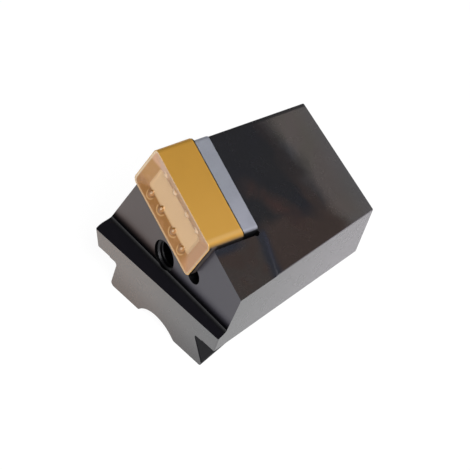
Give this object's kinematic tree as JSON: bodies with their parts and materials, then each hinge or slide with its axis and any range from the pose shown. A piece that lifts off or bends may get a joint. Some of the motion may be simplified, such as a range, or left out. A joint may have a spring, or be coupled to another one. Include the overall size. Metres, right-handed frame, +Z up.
{
  "type": "turning head",
  "caption": "Heavy-duty turning head: dovetail-footed steel block with a tilted pocket that holds a long coated insert on a shim by a lever.",
  "frame": {"origin": "middle of the bounding box at the underside of the foot", "axes": "+Z up from the foot, +X to the right along the front of the flange, the insert's rake face and the slope face -Y"},
  "size_m": [0.0582, 0.053, 0.0534],
  "materials": {
    "black_steel": "black oxide",
    "coated_carbide": "gold nitride coating",
    "bare_carbide": "ground",
    "spring_steel": "bright"
  },
  "bodies": {
    "head": {"head_body": "black_steel", "insert": "coated_carbide", "shim": "bare_carbide", "shim_sleeve": "spring_steel"},
    "lever": {"clamp_lever": "black_steel"},
    "screw": {"lever_screw": "black_steel"}
  },
  "joints": [
    {"name": "lever_rock", "type": "hinge", "parent": "head", "child": "lever", "pos_m": [0.00039, 0.0021, 0.03536], "axis": [-0.9775, 0.0561, 0.2036], "range_deg": [0, 3]},
    {"name": "screw_travel", "type": "slide", "parent": "head", "child": "screw", "axis": [-0.0307, -0.9916, 0.1256], "range_m": [0, 0.00065]}
  ],
  "couplings": [
    {"joint": "screw_travel", "follows": "lever_rock", "m_per_rad": 0.012002}
  ]
}
